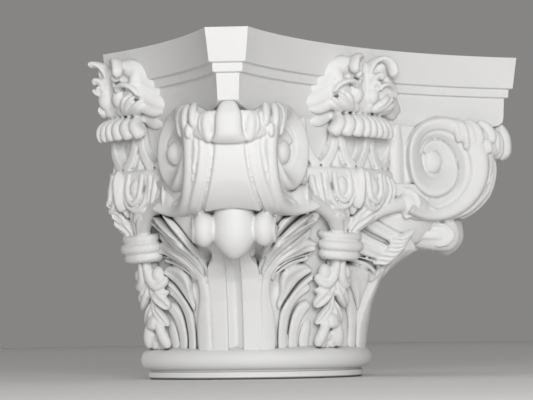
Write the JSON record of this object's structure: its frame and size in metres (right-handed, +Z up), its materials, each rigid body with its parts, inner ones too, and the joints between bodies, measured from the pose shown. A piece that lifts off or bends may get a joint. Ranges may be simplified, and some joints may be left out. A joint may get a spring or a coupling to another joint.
{
  "type": "half composite capital",
  "caption": "Half-round classical capital with hollow-sided abacus, corner scrolls, egg-cup ring and acanthus, flat at the back.",
  "frame": {"origin": "on the underside, at the axis of the column the capital stands on", "axes": "+Z up along the column's axis, -Y out of the full front face, +Y out of the flat back"},
  "size_m": [0.3982, 0.2171, 0.304],
  "materials": {
    "white_casting": "matte"
  },
  "bodies": {
    "root": {"capital": "white_casting"}
  },
  "joints": []
}
